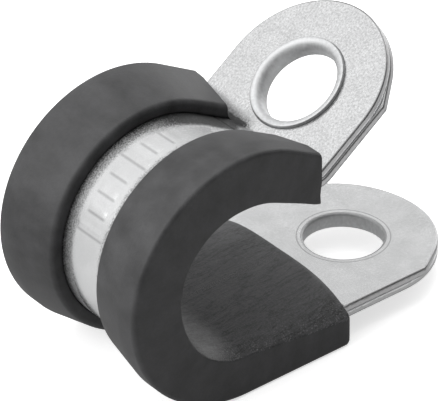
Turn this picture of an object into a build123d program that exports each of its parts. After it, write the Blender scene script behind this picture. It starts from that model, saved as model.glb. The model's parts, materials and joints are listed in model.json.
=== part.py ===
"""P clip for a cable or pipe of about 12 mm: a steel band bent round a rubber liner, with two drilled ears.

Frame: millimetres, +Z up. The loop's axis runs along Y, the ears point to +X and the clip rests on the
flat underside of its lower limb at z = 0. The clip is drawn with the loop's axis at x = 0 and moved at
the end, so that the origin is below the middle of its box. Every distance called a depth is measured
outward from the rubber face that touches the pipe.
"""
import math
import os

from build123d import *

# Loop and rubber liner
loop_radius = 6.0           # inner radius of the loop
base_depth = 2.0            # rubber between the pipe and the steel
steel_thickness = 0.65      # band sheet
lip_depth = 1.85            # rubber over the band's outer face, at the outer edge of a lip
rubber_beside_band = 0.95   # at each edge of the band, along Y
channel_width = 5.4         # gap between the two lips, where the band shows
lip_fall = 0.8              # how much lower a lip is beside the channel than at its outer edge
outer_round = 0.4           # outer edges of the lips
inner_round = 0.6           # edges of the face that touches the pipe, round the loop and on the limb
crown_half = 4.6            # half width of the nearly flat middle of the tongue's end
crown_middle = 0.3          # how much that middle bows
crown_edge = 1.9            # how much lower the tongue's end is at its side faces than in its middle
tongue_corner = 0.5         # round on the tongue's two corners, seen from above
channel_bevel = 0.35        # edges of the lips beside the channel
lip_shoulder = 1.7          # flat part of a lip, in from its side face

# Path of the band
arc_end_angle = 62.0        # where the round part ends, measured at the loop's axis from +X
bottom_angle = 270.0        # where it starts above the tongue, measured the same way
limb_straight = 3.95        # straight run of the upper limb before the bend
ear_angle = 35.4            # slope of the upper ear above +X
bend_inner_radius = 0.6     # hollow side of the bend at the root of the upper ear
bend_to_hole = 4.65         # from the end of that bend to the upper hole
lower_hole_x = 16.62        # lower hole from the loop's axis
liner_end_upper_x = 7.4     # cut end of the liner on the upper limb
liner_end_lower_x = 10.35   # cut end of the liner on the tongue

# Ears
band_width = 15.0
bore_radius = 3.2           # clears an M6 screw
plate_thickness = 0.65      # reinforcing plates on the mating faces
plate_overhang = 0.12       # a plate stands this far past the band at each side
shoulder_run = 2.0          # the plate's straight sides run this far past the hole
collar_wall = 0.45          # drawn collar that joins plate and band
collar_rise = 0.31          # height of the turned-over edge above the band's outer face
collar_flare = 0.22         # from the hole's wall out to the top of that edge
collar_flat = 0.26          # width of the top
collar_rim_radius = 4.02
collar_rim_height = 0.12    # thickness left at the rim
collar_turn = 0.1           # below the band's outer face, where the collar starts to turn over
entry_bevel = 0.5           # drawn-in edge on the mating face
plate_tail = 1.2            # run of a plate under the liner
lower_tail_half = 5.8       # half width of that run on the lower plate, where the liner is crowned
same_point = 1e-6           # closer than this, two corners are one

# Worked out from the sizes above
band_in = base_depth
band_out = base_depth + steel_thickness
plate_in = base_depth - plate_thickness
liner_out = band_out + lip_depth
axis_z = loop_radius + liner_out
half_band = band_width / 2
half_liner = half_band + rubber_beside_band
plate_half_width = half_band + plate_overhang
tip_radius = half_band
arc_start = math.radians(bottom_angle)
arc_end = math.radians(arc_end_angle)
ear_slope = math.radians(ear_angle)
limb_dir = Vector(math.sin(arc_end), -math.cos(arc_end))
limb_out = Vector(math.cos(arc_end), math.sin(arc_end))
ear_dir = Vector(math.cos(ear_slope), math.sin(ear_slope))
ear_out = Vector(-math.sin(ear_slope), math.cos(ear_slope))
bend_turn = math.radians(90.0 - arc_end_angle + ear_angle)
bend_start = Vector(0, axis_z) + limb_out * (loop_radius + band_out) + limb_dir * limb_straight
bend_centre = bend_start + limb_out * bend_inner_radius
hole_depth = band_out - plate_in
middle_x = (lower_hole_x + tip_radius - loop_radius - liner_out) / 2


def round_point(depth, angle):
    """Point on the round part of the loop, as X and Z."""
    radius = loop_radius + depth
    return Vector(radius * math.cos(angle), axis_z + radius * math.sin(angle))


def bend_point(depth, share):
    """Point on the bend at the upper ear's root: share 0 is its start, share 1 its end."""
    start = math.atan2(-limb_out.Y, -limb_out.X)
    angle = start + bend_turn * share
    radius = bend_inner_radius + band_out - depth
    return bend_centre + Vector(math.cos(angle), math.sin(angle)) * radius


def ear_point(depth, along):
    """Point on the upper ear, measured from the end of the bend."""
    return bend_point(depth, 1.0) + ear_dir * along


def limb_point(depth, along):
    """Point on the straight part of the upper limb, measured from the start of the bend."""
    return bend_point(depth, 0.0) + limb_dir * along


def prism(edges, half_width):
    """Solid of a closed outline in the XZ plane, spread evenly to both sides along Y."""
    outline = Plane.XZ * make_face(edges)
    return extrude(outline, amount=half_width, both=True)


def sheet(depth_low, depth_high, half_width, lower_x, along):
    """Strip of sheet that follows the whole path, from lower_x on the tongue to a run up the upper ear."""
    low = round_point(depth_low, arc_start)
    high = round_point(depth_high, arc_start)
    low_tip = Vector(lower_x, low.Y)
    high_tip = Vector(lower_x, high.Y)
    mid_angle = (arc_start + arc_end) / 2
    edges = [
        Line(low_tip, low),
        ThreePointArc(low, round_point(depth_low, mid_angle), round_point(depth_low, arc_end)),
        Line(round_point(depth_low, arc_end), bend_point(depth_low, 0.0)),
        ThreePointArc(bend_point(depth_low, 0.0), bend_point(depth_low, 0.5), bend_point(depth_low, 1.0)),
        Line(bend_point(depth_low, 1.0), ear_point(depth_low, along)),
        Line(ear_point(depth_low, along), ear_point(depth_high, along)),
        Line(ear_point(depth_high, along), bend_point(depth_high, 1.0)),
        ThreePointArc(bend_point(depth_high, 1.0), bend_point(depth_high, 0.5), bend_point(depth_high, 0.0)),
        Line(bend_point(depth_high, 0.0), round_point(depth_high, arc_end)),
        ThreePointArc(round_point(depth_high, arc_end), round_point(depth_high, mid_angle), high),
        Line(high, high_tip),
        Line(high_tip, low_tip),
    ]
    return prism(edges, half_width)


# Each ear has its own plane: origin at the hole on the mating face, +X to the tip, +Z out of the clip
upper_centre = ear_point(plate_in, bend_to_hole)
upper_plane = Plane(
    origin=(upper_centre.X, 0, upper_centre.Y),
    x_dir=(ear_dir.X, 0, ear_dir.Y),
    z_dir=(ear_out.X, 0, ear_out.Y),
)
lower_mating_z = axis_z - loop_radius - plate_in
lower_plane = Plane(origin=(lower_hole_x, 0, lower_mating_z), x_dir=(1, 0, 0), z_dir=(0, 0, -1))


def cylinder_at(plane, radius, low, high):
    """Round bar square to an ear, between two heights over its mating face."""
    return plane * (Pos(0, 0, (low + high) / 2) * Cylinder(radius, high - low))


def band_tip(plane):
    """Half-round tip of the band, past the hole."""
    half_disc = make_face([
        ThreePointArc((0, -half_band), (tip_radius, 0), (0, half_band)),
        Line((0, half_band), (0, -half_band)),
    ])
    return plane * (Pos(0, 0, plate_thickness) * extrude(half_disc, amount=steel_thickness))


def plate_outline():
    """Outline of a reinforcing plate past its hole: straight sides, a corner, then the round tip."""
    reach = math.hypot(shoulder_run, plate_half_width)
    angle = math.atan2(plate_half_width, shoulder_run) - math.acos(tip_radius / reach)
    touch = Vector(tip_radius * math.cos(angle), tip_radius * math.sin(angle))
    corner = Vector(shoulder_run, plate_half_width)
    root = Vector(0, plate_half_width)
    return make_face([
        Line(Vector(0, -plate_half_width), Vector(corner.X, -corner.Y)),
        Line(Vector(corner.X, -corner.Y), Vector(touch.X, -touch.Y)),
        ThreePointArc(Vector(touch.X, -touch.Y), Vector(tip_radius, 0), touch),
        Line(touch, corner),
        Line(corner, root),
        Line(root, Vector(0, -plate_half_width)),
    ])


def collar(plane):
    """Collar drawn out of a plate, passed through the band and turned over on its outer face."""
    top = hole_depth
    outer = bore_radius + collar_wall
    profile = make_face(Polyline(
        (bore_radius, entry_bevel),
        (bore_radius, top - collar_turn),
        (bore_radius + collar_flare, top + collar_rise),
        (bore_radius + collar_flare + collar_flat, top + collar_rise),
        (collar_rim_radius, top + collar_rim_height),
        (collar_rim_radius, top),
        (outer, top),
        (outer, entry_bevel),
        close=True,
    ))
    return plane * revolve(Plane.XZ * profile, Axis.Z, 360)


def entry(plane):
    """Material taken away where a hole's edge is drawn in at the mating face."""
    drawn_in = Pos(0, 0, entry_bevel / 2) * Cone(bore_radius + entry_bevel, bore_radius, entry_bevel)
    return plane * drawn_in


# Steel band with both ears
band = sheet(band_in, band_out, half_band, lower_hole_x, bend_to_hole)
for ear in (upper_plane, lower_plane):
    band = band + band_tip(ear)
for ear in (upper_plane, lower_plane):
    band = band - cylinder_at(ear, bore_radius + collar_wall, plate_thickness, hole_depth)


def finish_plate(plate, plane):
    """Round tip, hole and drawn collar, the same on both plates."""
    plate = plate + plane * extrude(plate_outline(), amount=plate_thickness)
    plate = plate - cylinder_at(plane, bore_radius, 0, plate_thickness)
    plate = plate + collar(plane)
    return plate - entry(plane)


# Upper plate: a short tail on the limb, the bend, and the ear
tail_low = limb_point(plate_in, -plate_tail)
tail_high = limb_point(band_in, -plate_tail)
plate_upper = prism(
    [
        Line(tail_low, bend_point(plate_in, 0.0)),
        ThreePointArc(bend_point(plate_in, 0.0), bend_point(plate_in, 0.5), bend_point(plate_in, 1.0)),
        Line(bend_point(plate_in, 1.0), ear_point(plate_in, bend_to_hole)),
        Line(ear_point(plate_in, bend_to_hole), ear_point(band_in, bend_to_hole)),
        Line(ear_point(band_in, bend_to_hole), bend_point(band_in, 1.0)),
        ThreePointArc(bend_point(band_in, 1.0), bend_point(band_in, 0.5), bend_point(band_in, 0.0)),
        Line(bend_point(band_in, 0.0), tail_high),
        Line(tail_high, tail_low),
    ],
    plate_half_width,
)
plate_upper = finish_plate(plate_upper, upper_plane)

# Lower plate: flat, with a narrower tail between the band and the liner
bare_length = lower_hole_x - liner_end_lower_x
tail_length = bare_length + plate_tail
plate_lower = lower_plane * (
    Pos(-bare_length / 2, 0, plate_thickness / 2) * Box(bare_length, 2 * plate_half_width, plate_thickness)
    + Pos(-tail_length / 2, 0, plate_thickness / 2) * Box(tail_length, 2 * lower_tail_half, plate_thickness)
)
plate_lower = finish_plate(plate_lower, lower_plane)


def round_corners(section, depth, radius):
    """Rounds the two corners of a section where its side faces end, at that depth."""
    corners = [
        corner
        for corner in section.vertices()
        if abs(abs(corner.X) - half_liner) < same_point and abs(corner.Y - depth) < same_point
    ]
    return fillet(corners, radius)


def lips_and_slot(inner_depth):
    """Outline from one side face round the lips and the slot for the band to the other side face."""
    half_gap = channel_width / 2
    return Polyline(
        (half_liner, inner_depth),
        (half_liner, liner_out),
        (half_liner - lip_shoulder, liner_out),
        (half_gap + channel_bevel, liner_out - lip_fall),
        (half_gap, liner_out - lip_fall - channel_bevel),
        (half_gap, band_out),
        (half_band, band_out),
        (half_band, band_in),
        (-half_band, band_in),
        (-half_band, band_out),
        (-half_gap, band_out),
        (-half_gap, liner_out - lip_fall - channel_bevel),
        (-half_gap - channel_bevel, liner_out - lip_fall),
        (-half_liner + lip_shoulder, liner_out),
        (-half_liner, liner_out),
        (-half_liner, inner_depth),
    )


def loop_section():
    """Section of the liner round the loop: width along X, depth along Y."""
    section = make_face([lips_and_slot(0), Line((-half_liner, 0), (half_liner, 0))])
    section = round_corners(section, 0, inner_round)
    return round_corners(section, liner_out, outer_round)


def tongue_end_section():
    """Section at the tongue's cut end, where the face that touches the pipe is crowned."""
    middle = ThreePointArc((-crown_half, crown_middle), (0, 0), (crown_half, crown_middle))
    falling = middle % 1
    right = TangentArc((crown_half, crown_middle), (half_liner, crown_edge), tangent=falling)
    left = mirror(right, Plane.YZ)
    section = make_face([lips_and_slot(crown_edge), left, middle, right])
    return round_corners(section, liner_out, outer_round)


def tongue_plane(x):
    """Plane of a section of the tongue, with the depth pointing down."""
    return Plane(origin=(x, 0, axis_z - loop_radius), x_dir=(0, 1, 0), z_dir=(-1, 0, 0))


# Liner: the tongue's crown fades out toward the loop, and the round part and the limb share one section
section = loop_section()
tongue_face = tongue_plane(0) * section
tongue = loft([tongue_face, tongue_plane(liner_end_lower_x) * tongue_end_section()], ruled=True)
for side in (-1, 1):
    corner_centre = (liner_end_lower_x - tongue_corner, side * (half_liner - tongue_corner))
    square = Pos(liner_end_lower_x, side * half_liner) * Rectangle(2 * tongue_corner, 2 * tongue_corner)
    outside_corner = square - Pos(*corner_centre) * Circle(tongue_corner)
    tongue = tongue - extrude(outside_corner, amount=axis_z)
loop_axis = Axis((0, 0, axis_z), (0, -1, 0))
round_part = revolve(tongue_face, loop_axis, arc_end_angle - bottom_angle)
limb_origin = round_point(0, arc_end)
limb_face = Plane(
    origin=(limb_origin.X, 0, limb_origin.Y),
    x_dir=(0, 1, 0),
    z_dir=(limb_dir.X, 0, limb_dir.Y),
) * section
limb_reach = (liner_end_upper_x - limb_origin.X) / limb_dir.X
limb = extrude(limb_face, amount=limb_reach + lip_depth)
cut_size = 4 * half_liner
beyond = Box(cut_size, cut_size, cut_size)
limb = limb - Pos(liner_end_upper_x + cut_size / 2, 0, axis_z + cut_size / 2) * beyond
liner = tongue + round_part + limb
liner = liner - plate_upper - plate_lower

pieces = {"band": band, "plate_upper": plate_upper, "plate_lower": plate_lower, "liner": liner}

os.makedirs("parts", exist_ok=True)
for name, shape in pieces.items():
    placed = Pos(-middle_x, 0, 0) * shape
    print(name, "solids", len(placed.solids()), "volume", round(placed.volume, 2), "valid", placed.is_valid)
    export_step(placed, "parts/" + name + ".step")
print("loop axis", round(-middle_x, 4), round(axis_z, 4))
print("upper hole on the mating face", round(upper_centre.X - middle_x, 4), round(upper_centre.Y, 4))
print("lower hole on the mating face", round(lower_hole_x - middle_x, 4), round(lower_mating_z, 4))
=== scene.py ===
"""Dresses the rubber-lined p clip: rubber liner, steel band and the two reinforcing plates.

Every length is in metres. "Along" is the distance along the rubber face that touches the pipe, from the
loop's lowest point: below zero on the tongue and lower ear, above zero round the loop and up the limb.
"Depth" is the distance outward from that face, and "across" runs along the loop's axis.
"""
import json
import math
from collections import namedtuple

import bmesh
import bpy
from mathutils import Matrix, Vector


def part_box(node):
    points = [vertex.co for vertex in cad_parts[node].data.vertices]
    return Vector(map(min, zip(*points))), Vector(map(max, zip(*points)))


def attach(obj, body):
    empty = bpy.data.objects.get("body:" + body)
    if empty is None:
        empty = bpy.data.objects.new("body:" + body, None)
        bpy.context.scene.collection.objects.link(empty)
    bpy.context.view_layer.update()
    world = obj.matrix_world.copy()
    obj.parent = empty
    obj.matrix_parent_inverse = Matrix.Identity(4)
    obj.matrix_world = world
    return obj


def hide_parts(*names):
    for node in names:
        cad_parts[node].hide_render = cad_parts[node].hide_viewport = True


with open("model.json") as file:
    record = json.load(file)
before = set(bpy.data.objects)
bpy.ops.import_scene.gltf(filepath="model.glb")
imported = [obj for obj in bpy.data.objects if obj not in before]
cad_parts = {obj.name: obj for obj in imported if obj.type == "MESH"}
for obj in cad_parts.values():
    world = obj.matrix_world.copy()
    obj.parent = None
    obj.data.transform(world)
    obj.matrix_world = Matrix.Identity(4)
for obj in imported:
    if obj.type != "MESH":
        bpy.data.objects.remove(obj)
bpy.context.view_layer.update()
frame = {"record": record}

bl_info = {
    "name": "Lined P Clip",
    "version": (1, 0, 0),
    "blender": (4, 5, 0),
    "location": "3D View > Sidebar > P Clip",
    "description": "Builds the visible pieces of a rubber-lined p clip and its studio",
    "category": "Object",
}

MM = 0.001
BODY = "root"
PHOTO_WIDTH = 440

# Spots of a flat pattern that are closer than this are one.
MERGE = 1e-7

# Steps of the meshes round the loop, round the bend and over a rounded end.
ARC_STEPS = 130
BEND_STEPS = 18
END_STEPS = 5


def mount(name):
    """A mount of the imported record, by its name."""
    for entry in frame["record"]["mounts"]:
        if entry["name"] == name:
            return entry
    raise KeyError(name)


loop_mount = mount("loop")
upper_mount = mount("upper_hole")
lower_mount = mount("lower_hole")
LOOP_AXIS = Vector((loop_mount["pos_m"][0], loop_mount["pos_m"][2]))
LOOP_RADIUS = loop_mount["dims"]["r_mm"] * MM
BORE_RADIUS = upper_mount["dims"]["r_mm"] * MM
EAR_SLOPE = math.atan2(-upper_mount["axis"][0], upper_mount["axis"][2])
LINER_LOW, LINER_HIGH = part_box("liner")
_, BAND_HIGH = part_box("band")
_, PLATE_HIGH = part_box("plate_lower")
LINER_DEPTH = LOOP_AXIS.y - LOOP_RADIUS - LINER_LOW.z
HALF_LINER = LINER_HIGH.y
HALF_BAND = BAND_HIGH.y
HALF_PLATE = PLATE_HIGH.y
TONGUE_END = LOOP_AXIS.x - LINER_HIGH.x


def length(title, words, value, smallest=0.0):
    """A length property in metres."""
    return bpy.props.FloatProperty(
        name=title, description=words, default=value, min=smallest, unit="LENGTH", precision=5
    )


def colour(title, words, value):
    """A linear colour property."""
    return bpy.props.FloatVectorProperty(
        name=title, description=words, default=value, size=3, min=0.0, max=1.0, subtype="COLOR"
    )


def share(title, words, value, highest=1.0):
    """A plain number from zero up."""
    return bpy.props.FloatProperty(name=title, description=words, default=value, min=0.0, max=highest)


def degrees(title, words, value):
    """An angle property, given in degrees."""
    return bpy.props.FloatProperty(
        name=title, description=words, default=math.radians(value), subtype="ANGLE"
    )


class ClipProfile(bpy.types.PropertyGroup):
    """Side profile that all the pieces follow."""

    base_depth: length("Rubber base", "Rubber between the pipe and the steel", 0.002)
    steel_thickness: length("Steel thickness", "Sheet of the band", 0.00065)
    plate_thickness: length("Plate thickness", "Sheet of the reinforcing plates", 0.00065)
    arc_end: degrees("Arc end", "Where the round part ends, up from the level line through the axis", 62.0)
    limb_straight: length("Limb", "Straight run of the upper limb before the bend", 0.00395)
    bend_radius: length("Bend radius", "Hollow side of the bend at the upper ear's root", 0.0006)
    bend_to_hole: length("Bend to hole", "From the end of the bend to the upper hole", 0.00465)
    far_rise: length("Far rise", "How much the tongue and the lower ear rise toward the back", 0.00055)


class ClipLiner(bpy.types.PropertyGroup):
    """Sizes and colour of the rubber."""

    channel_width: length("Channel", "Gap between the two lips", 0.0054)
    lip_fall: length("Lip fall", "How much lower a lip is beside the channel", 0.0008)
    lip_shoulder: length("Lip shoulder", "Flat part of a lip, in from its side face", 0.0017)
    outer_round: length("Outer round", "Round on the outer edges of the lips", 0.0004)
    edge_round: length("Inner edge round", "Round on the edges of the face that touches the pipe", 0.00022)
    tongue_fall: length("Tongue fall", "How much lower the inner edges are at the tongue's end", 0.0021)
    far_kept: share("Back edge's fall", "How much of its fall the tongue keeps at its back edge", 0.85)
    bottom_fall: length("Bottom fall", "How much lower the inner edges are at the loop's foot", 0.00095)
    limb_fall: length("Limb fall", "How much lower the inner edges are at the limb's cut end", 0.00055)
    loop_crown: share("Loop's crown", "How late toward its edges the inner face falls", 7.0, 20.0)
    tongue_crown: share("Tongue's crown", "How late toward its edges the tongue's end falls", 3.2, 20.0)
    far_lean: length("Far lean", "How much further the back lip runs at the limb's cut end", 0.00145)
    far_sag: length("Far sag", "How much lower the back lip's shoulder is there", 0.0001)
    far_run: length("Far run", "How far along the limb the back lip's lean grows", 0.0026)
    tongue_corner: length("Tongue corner", "Round on the tongue's two corners, seen from above", 0.0005)
    channel_round: length("Channel round", "Round on a lip's edge beside the channel", 0.00045)
    toe_round: length("Toe round", "Round where a lip meets the band", 0.00014)
    upper_end: length("Upper end", "Cut end of the upper limb, from the loop's axis", 0.0074)
    upper_end_round: length("Upper end round", "Round on the cut end of the upper limb", 0.0002)
    lower_end_round: length("Lower end round", "Round on the cut end of the tongue", 0.00018)
    nose_round: length("Nose round", "Round under the cut end of the tongue", 0.0005)
    rubber: colour("Rubber", "Colour of the rubber", (0.0465, 0.0465, 0.048))
    dust: colour("Dust", "Pale specks on the inner face", (0.27, 0.27, 0.272))
    # Painted light: how much paler the face that touches the pipe is painted, standing for the light that
    # reaches it.
    inner_painted_light: share("Painted light on inner face", "How much paler the face that touches the pipe is", 0.6, 4.0)


class ClipSteel(bpy.types.PropertyGroup):
    """Sizes and colours of the band and the plates."""

    edge_round: length("Edge round", "Round on the sheared edges", 0.00013)
    collar_wall: length("Collar wall", "Wall of the drawn collars", 0.00045)
    collar_rise: length("Collar rise", "Turned-over edge above the band's outer face", 0.00031)
    rim_radius: length("Rim radius", "Outer edge of a turned-over collar", 0.00402)
    rim_round: length("Rim round", "Round on the outer edge of a collar", 0.00013)
    funnel_depth: length("Funnel depth", "How far into the band a collar's funnel reaches", 0.0005)
    entry_round: length("Entry round", "Drawn-in edge of a hole on the mating face", 0.00025)
    tool_line: length("Tool line", "From a hole's edge to the line round it on the mating face", 0.00055)
    shoulder_run: length("Shoulder run", "How far a plate's straight sides run past its hole", 0.002)
    plate_tail: length("Plate tail", "Run of the upper plate under the liner", 0.0012)
    hidden_tail: length("Hidden tail", "Run of the lower plate under the liner", 0.00012)
    band_reach: length("Band's reach", "From the lower hole back to the band's plain strip", 0.007)
    plate_reach: length("Plate's reach", "From the lower hole back to the plate's plain strip", 0.0054)
    mark_count: bpy.props.IntProperty(
        name="Marks", description="Plain raised ticks in the channel", default=7, min=1
    )
    mark_height: length("Mark height", "Height of the ticks", 0.00003)
    mark_slope: length("Mark slope", "Run of a tick's sloping sides", 0.00014)
    mark_taper: length("Mark taper", "Run of a tick's sloping ends", 0.00036)
    mark_long: length("Long mark", "Half the length of every fourth tick", 0.00135)
    mark_short: length("Short mark", "Half the length of the other ticks", 0.00085)
    mark_half_width: length("Mark half width", "Half the width of a tick", 0.0002)
    mark_pitch: length("Mark pitch", "From one tick to the next", 0.00112)
    mark_start: length("Mark start", "First tick, along the route", 0.0119)
    crease_depth: length("Crease depth", "Depth of the press line across the limb", 0.00006)
    crease_run: length("Crease run", "From the end of the round part to the press line", 0.0021)
    crease_half_width: length("Crease half width", "Half the width of the press line", 0.00022)
    zinc: colour("Zinc", "Colour of the plated faces", (0.80, 0.805, 0.81))
    shear: colour("Sheared edge", "Colour of the cut edges", (0.56, 0.56, 0.565))
    drawn: colour("Drawn collars", "Colour of the collars round the holes", (0.64, 0.645, 0.65))
    # The band's burnish tone is partly a painted highlight along its cut edge, and the plates' is partly
    # painted shade that tones a highlight down.
    band_burnish_highlight: share("Band's burnish", "Tone of the band's cut edge where the cut begins", 1.75, 4.0)
    plate_burnish_shade: share("Plates' burnish", "Tone of a plate's cut edge where the cut begins", 0.6, 4.0)
    # The dark border is painted shade: the lip's dark reflection painted into the band's colour.
    border: length("Dark border", "Width of the dark border beside a lip in the channel", 0.0012)


class ClipStage(bpy.types.PropertyGroup):
    """Floor, light and camera."""

    floor: colour("Floor", "Colour of the floor", (0.40, 0.40, 0.40))
    floor_white: share("Floor white", "Glow of the floor to the camera", 0.62)
    floor_mirrored: share("Mirrored floor", "Glow of the floor in metal", 0.27)
    front_level: share("Front light", "Level of the sky in front of the clip", 0.048, 10.0)
    back_level: share("Back light", "Level of the sky above and behind the clip", 0.95, 10.0)
    side_power: share("Side light", "Power of the softbox on the left, in watts", 1.1, 100.0)
    top_power: share("Top light", "Power of the softbox overhead, in watts", 0.8, 100.0)
    right_power: share("Right light", "Power of the softbox at the mouth, in watts", 0.85, 100.0)
    camera_azimuth: degrees("Azimuth", "Camera's turn round the clip", -37.94)
    camera_elevation: degrees("Elevation", "Camera's height angle", 32.58)
    camera_roll: degrees("Roll", "Camera's roll", -1.12)
    camera_distance: length("Distance", "Camera's distance from the clip", 0.25188)
    aim_x: length("Aim, X", "Point that the camera turns round, along the clip", 0.000791)
    aim_z: length("Aim, Z", "Height of that point above the floor", 0.009461)
    slide_right: length("Slide right", "Camera's slide along the picture's width", -0.002657, -1.0)
    slide_up: length("Slide up", "Camera's slide along the picture's height", 0.000624, -1.0)
    photo_focal: share("Focal length", "Focal length in pixels of the photograph's frame", 3270.14, 99999.0)


class Route:
    """Side profile of the clip as feet on the rubber's inner face, with the outward direction at each."""

    def __init__(self, profile):
        self.bottom = 1.5 * math.pi
        self.arc_end = profile.arc_end
        self.arc_length = LOOP_RADIUS * (self.bottom - self.arc_end)
        self.band_in = profile.base_depth
        self.band_out = profile.base_depth + profile.steel_thickness
        self.plate_in = profile.base_depth - profile.plate_thickness
        self.limb_out = Vector((math.cos(self.arc_end), math.sin(self.arc_end)))
        self.limb_dir = Vector((self.limb_out.y, -self.limb_out.x))
        self.ear_dir = Vector((math.cos(EAR_SLOPE), math.sin(EAR_SLOPE)))
        self.bend_start = self.arc_length + profile.limb_straight
        self.bend_radius = profile.bend_radius + self.band_out
        self.bend_turn = math.pi / 2 - self.arc_end + EAR_SLOPE
        self.bend_end = self.bend_start + self.bend_radius * self.bend_turn
        limb_end = LOOP_AXIS + self.limb_out * LOOP_RADIUS + self.limb_dir * profile.limb_straight
        self.bend_centre = limb_end + self.limb_out * self.bend_radius
        self.upper_hole = self.bend_end + profile.bend_to_hole
        self.lower_hole = LOOP_AXIS.x - lower_mount["pos_m"][0]
        self.far_rise = profile.far_rise

    def at(self, along):
        """Foot on the inner face and the outward direction, both as X and Z."""
        if along < 0.0:
            return Vector((LOOP_AXIS.x - along, LOOP_AXIS.y - LOOP_RADIUS)), Vector((0.0, -1.0))
        if along <= self.arc_length:
            angle = self.bottom - along / LOOP_RADIUS
            outward = Vector((math.cos(angle), math.sin(angle)))
            return LOOP_AXIS + outward * LOOP_RADIUS, outward
        if along <= self.bend_start:
            run = along - self.arc_length
            return LOOP_AXIS + self.limb_out * LOOP_RADIUS + self.limb_dir * run, self.limb_out
        turned = min(along - self.bend_start, self.bend_end - self.bend_start) / self.bend_radius
        outward = Matrix.Rotation(turned, 2) @ self.limb_out
        foot = self.bend_centre - outward * self.bend_radius
        if along > self.bend_end:
            foot = foot + self.ear_dir * (along - self.bend_end)
        return foot, outward

    def place(self, along, across, depth):
        """A point of the clip in the frame."""
        foot, outward = self.at(along)
        spot = foot + outward * depth
        above = 1.0 - smooth_step((depth - self.band_out) / (LINER_DEPTH - self.band_out))
        far = (max(across, 0.0) / HALF_LINER) ** 2
        rise = self.far_rise * smooth_step(-along / LOOP_RADIUS) * far * above
        return Vector((spot.x, across, spot.y + rise))


def spread(low, high, count):
    """Even steps from low to high, both ends included."""
    return [low + (high - low) * step / count for step in range(count + 1)]


def clamped(value):
    """The value, kept between 0 and 1."""
    return min(max(value, 0.0), 1.0)


def smooth_step(value):
    """Soft rise from 0 to 1."""
    value = clamped(value)
    return value * value * (3.0 - 2.0 * value)


def quarter(steps):
    """Sine and cosine of even turns from 0 to 90 degrees."""
    turns = spread(0.0, math.pi / 2, steps)
    return [(math.sin(turn), math.cos(turn)) for turn in turns]


def bridge(before, after):
    """Four-sided faces between two rings with the same number of vertices."""
    count = len(before)
    return [
        (before[index], before[(index + 1) % count], after[(index + 1) % count], after[index])
        for index in range(count)
    ]


def chosen(name):
    """The settings group of that name in the scene."""
    return getattr(bpy.context.scene, "clip_" + name)


def publish(name, mesh_data, materials, nodes):
    """Puts a finished mesh in the scene as one piece that stands for its CAD nodes."""
    piece = bpy.data.objects.new(name, mesh_data)
    bpy.context.scene.collection.objects.link(piece)
    for material in materials:
        mesh_data.materials.append(material)
    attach(piece, BODY)
    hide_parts(*nodes)
    return piece


def write_route(mesh_data, rows):
    """Stores each vertex's place on the route, in millimetres, for the materials."""
    layer = mesh_data.attributes.new("route_mm", "FLOAT_VECTOR", "POINT")
    layer.data.foreach_set("vector", [value / MM for row in rows for value in row])


def smooth_faces(piece, angle):
    """Smooth shading with sharp edges above an angle, and normals led by the large faces."""
    piece.data.shade_smooth()
    piece.data.set_sharp_from_angle(angle=math.radians(angle))
    weighted = piece.modifiers.new("even_normals", "WEIGHTED_NORMAL")
    weighted.keep_sharp = True
    weighted.weight = 60


# Rubber liner

# Shares of the loop's round part: where the limb's crown begins, and over how much a crown comes and goes.
LIMB_CROWN_START = 0.82
CROWN_BLEND = 0.4

# Least fall of the inner face, so that its edge never turns the other way.
LEAST_FALL = 0.02 * MM

# Where across a lip the far sag is deepest.
SAG_PEAK = 0.7

# How deep a lip's round beside the channel is seated, as a share of its radius.
EDGE_SEAT = 0.93

# Rings along the tongue and the limb.
TONGUE_STEPS = 44
LIMB_STEPS = 16

# Share of the tongue over which its round corners fade out, and share of the limb that the plain rings cover.
END_FADE = 0.2
PLAIN_LIMB = 0.9

# How strongly the section's vertices crowd toward the inner face's edge, and how many of them, at the far end
# of the edge's round, no longer touch the pipe.
CROWDING = 1.6
FREE_POINTS = 3

# One vertex of the liner's section: whether it may move inward, and 1 where it touches the pipe.
Point = namedtuple("Point", "across depth walked free touching")


def corner(centre, radius, start, turn, steps):
    """Points of a round corner of the section."""
    points = []
    for step in range(steps + 1):
        angle = math.radians(start + turn * step / steps)
        points.append((centre[0] + radius * math.cos(angle), centre[1] + radius * math.sin(angle)))
    return points


def line(start, end, steps):
    """Points between two corners of the section, both left out."""
    return [
        (start[0] + (end[0] - start[0]) * step / steps, start[1] + (end[1] - start[1]) * step / steps)
        for step in range(1, steps)
    ]


def crown(route, liner, along):
    """Fall of the inner face at its edges, and how late toward an edge it comes, at a place on the route."""
    turned = along / route.arc_length
    limb = smooth_step((turned - LIMB_CROWN_START) / CROWN_BLEND)
    bottom = 1.0 - smooth_step(turned / CROWN_BLEND)
    tongue = clamped(along / TONGUE_END)
    fall = liner.bottom_fall * bottom + liner.limb_fall * limb
    fall += (liner.tongue_fall - liner.bottom_fall) * tongue
    return max(fall, LEAST_FALL), liner.loop_crown + (liner.tongue_crown - liner.loop_crown) * tongue


def crowned_face(liner, fall, power, steps):
    """Inner face of the section from its middle to the side face: a crown and a nearly sharp edge."""
    slope = math.atan(fall * power / HALF_LINER)
    reach = liner.edge_round * math.tan((math.pi / 2 - slope) / 2)
    landing = HALF_LINER - reach * math.cos(slope)
    points = []
    for step in range(steps):
        across = landing * (1.0 - (1.0 - step / steps) ** CROWDING)
        points.append((across, fall * (across / HALF_LINER) ** power))
    centre = (HALF_LINER - liner.edge_round, fall + reach)
    turn = 90.0 - math.degrees(slope)
    return points + corner(centre, liner.edge_round, -turn, turn, 5)


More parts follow.
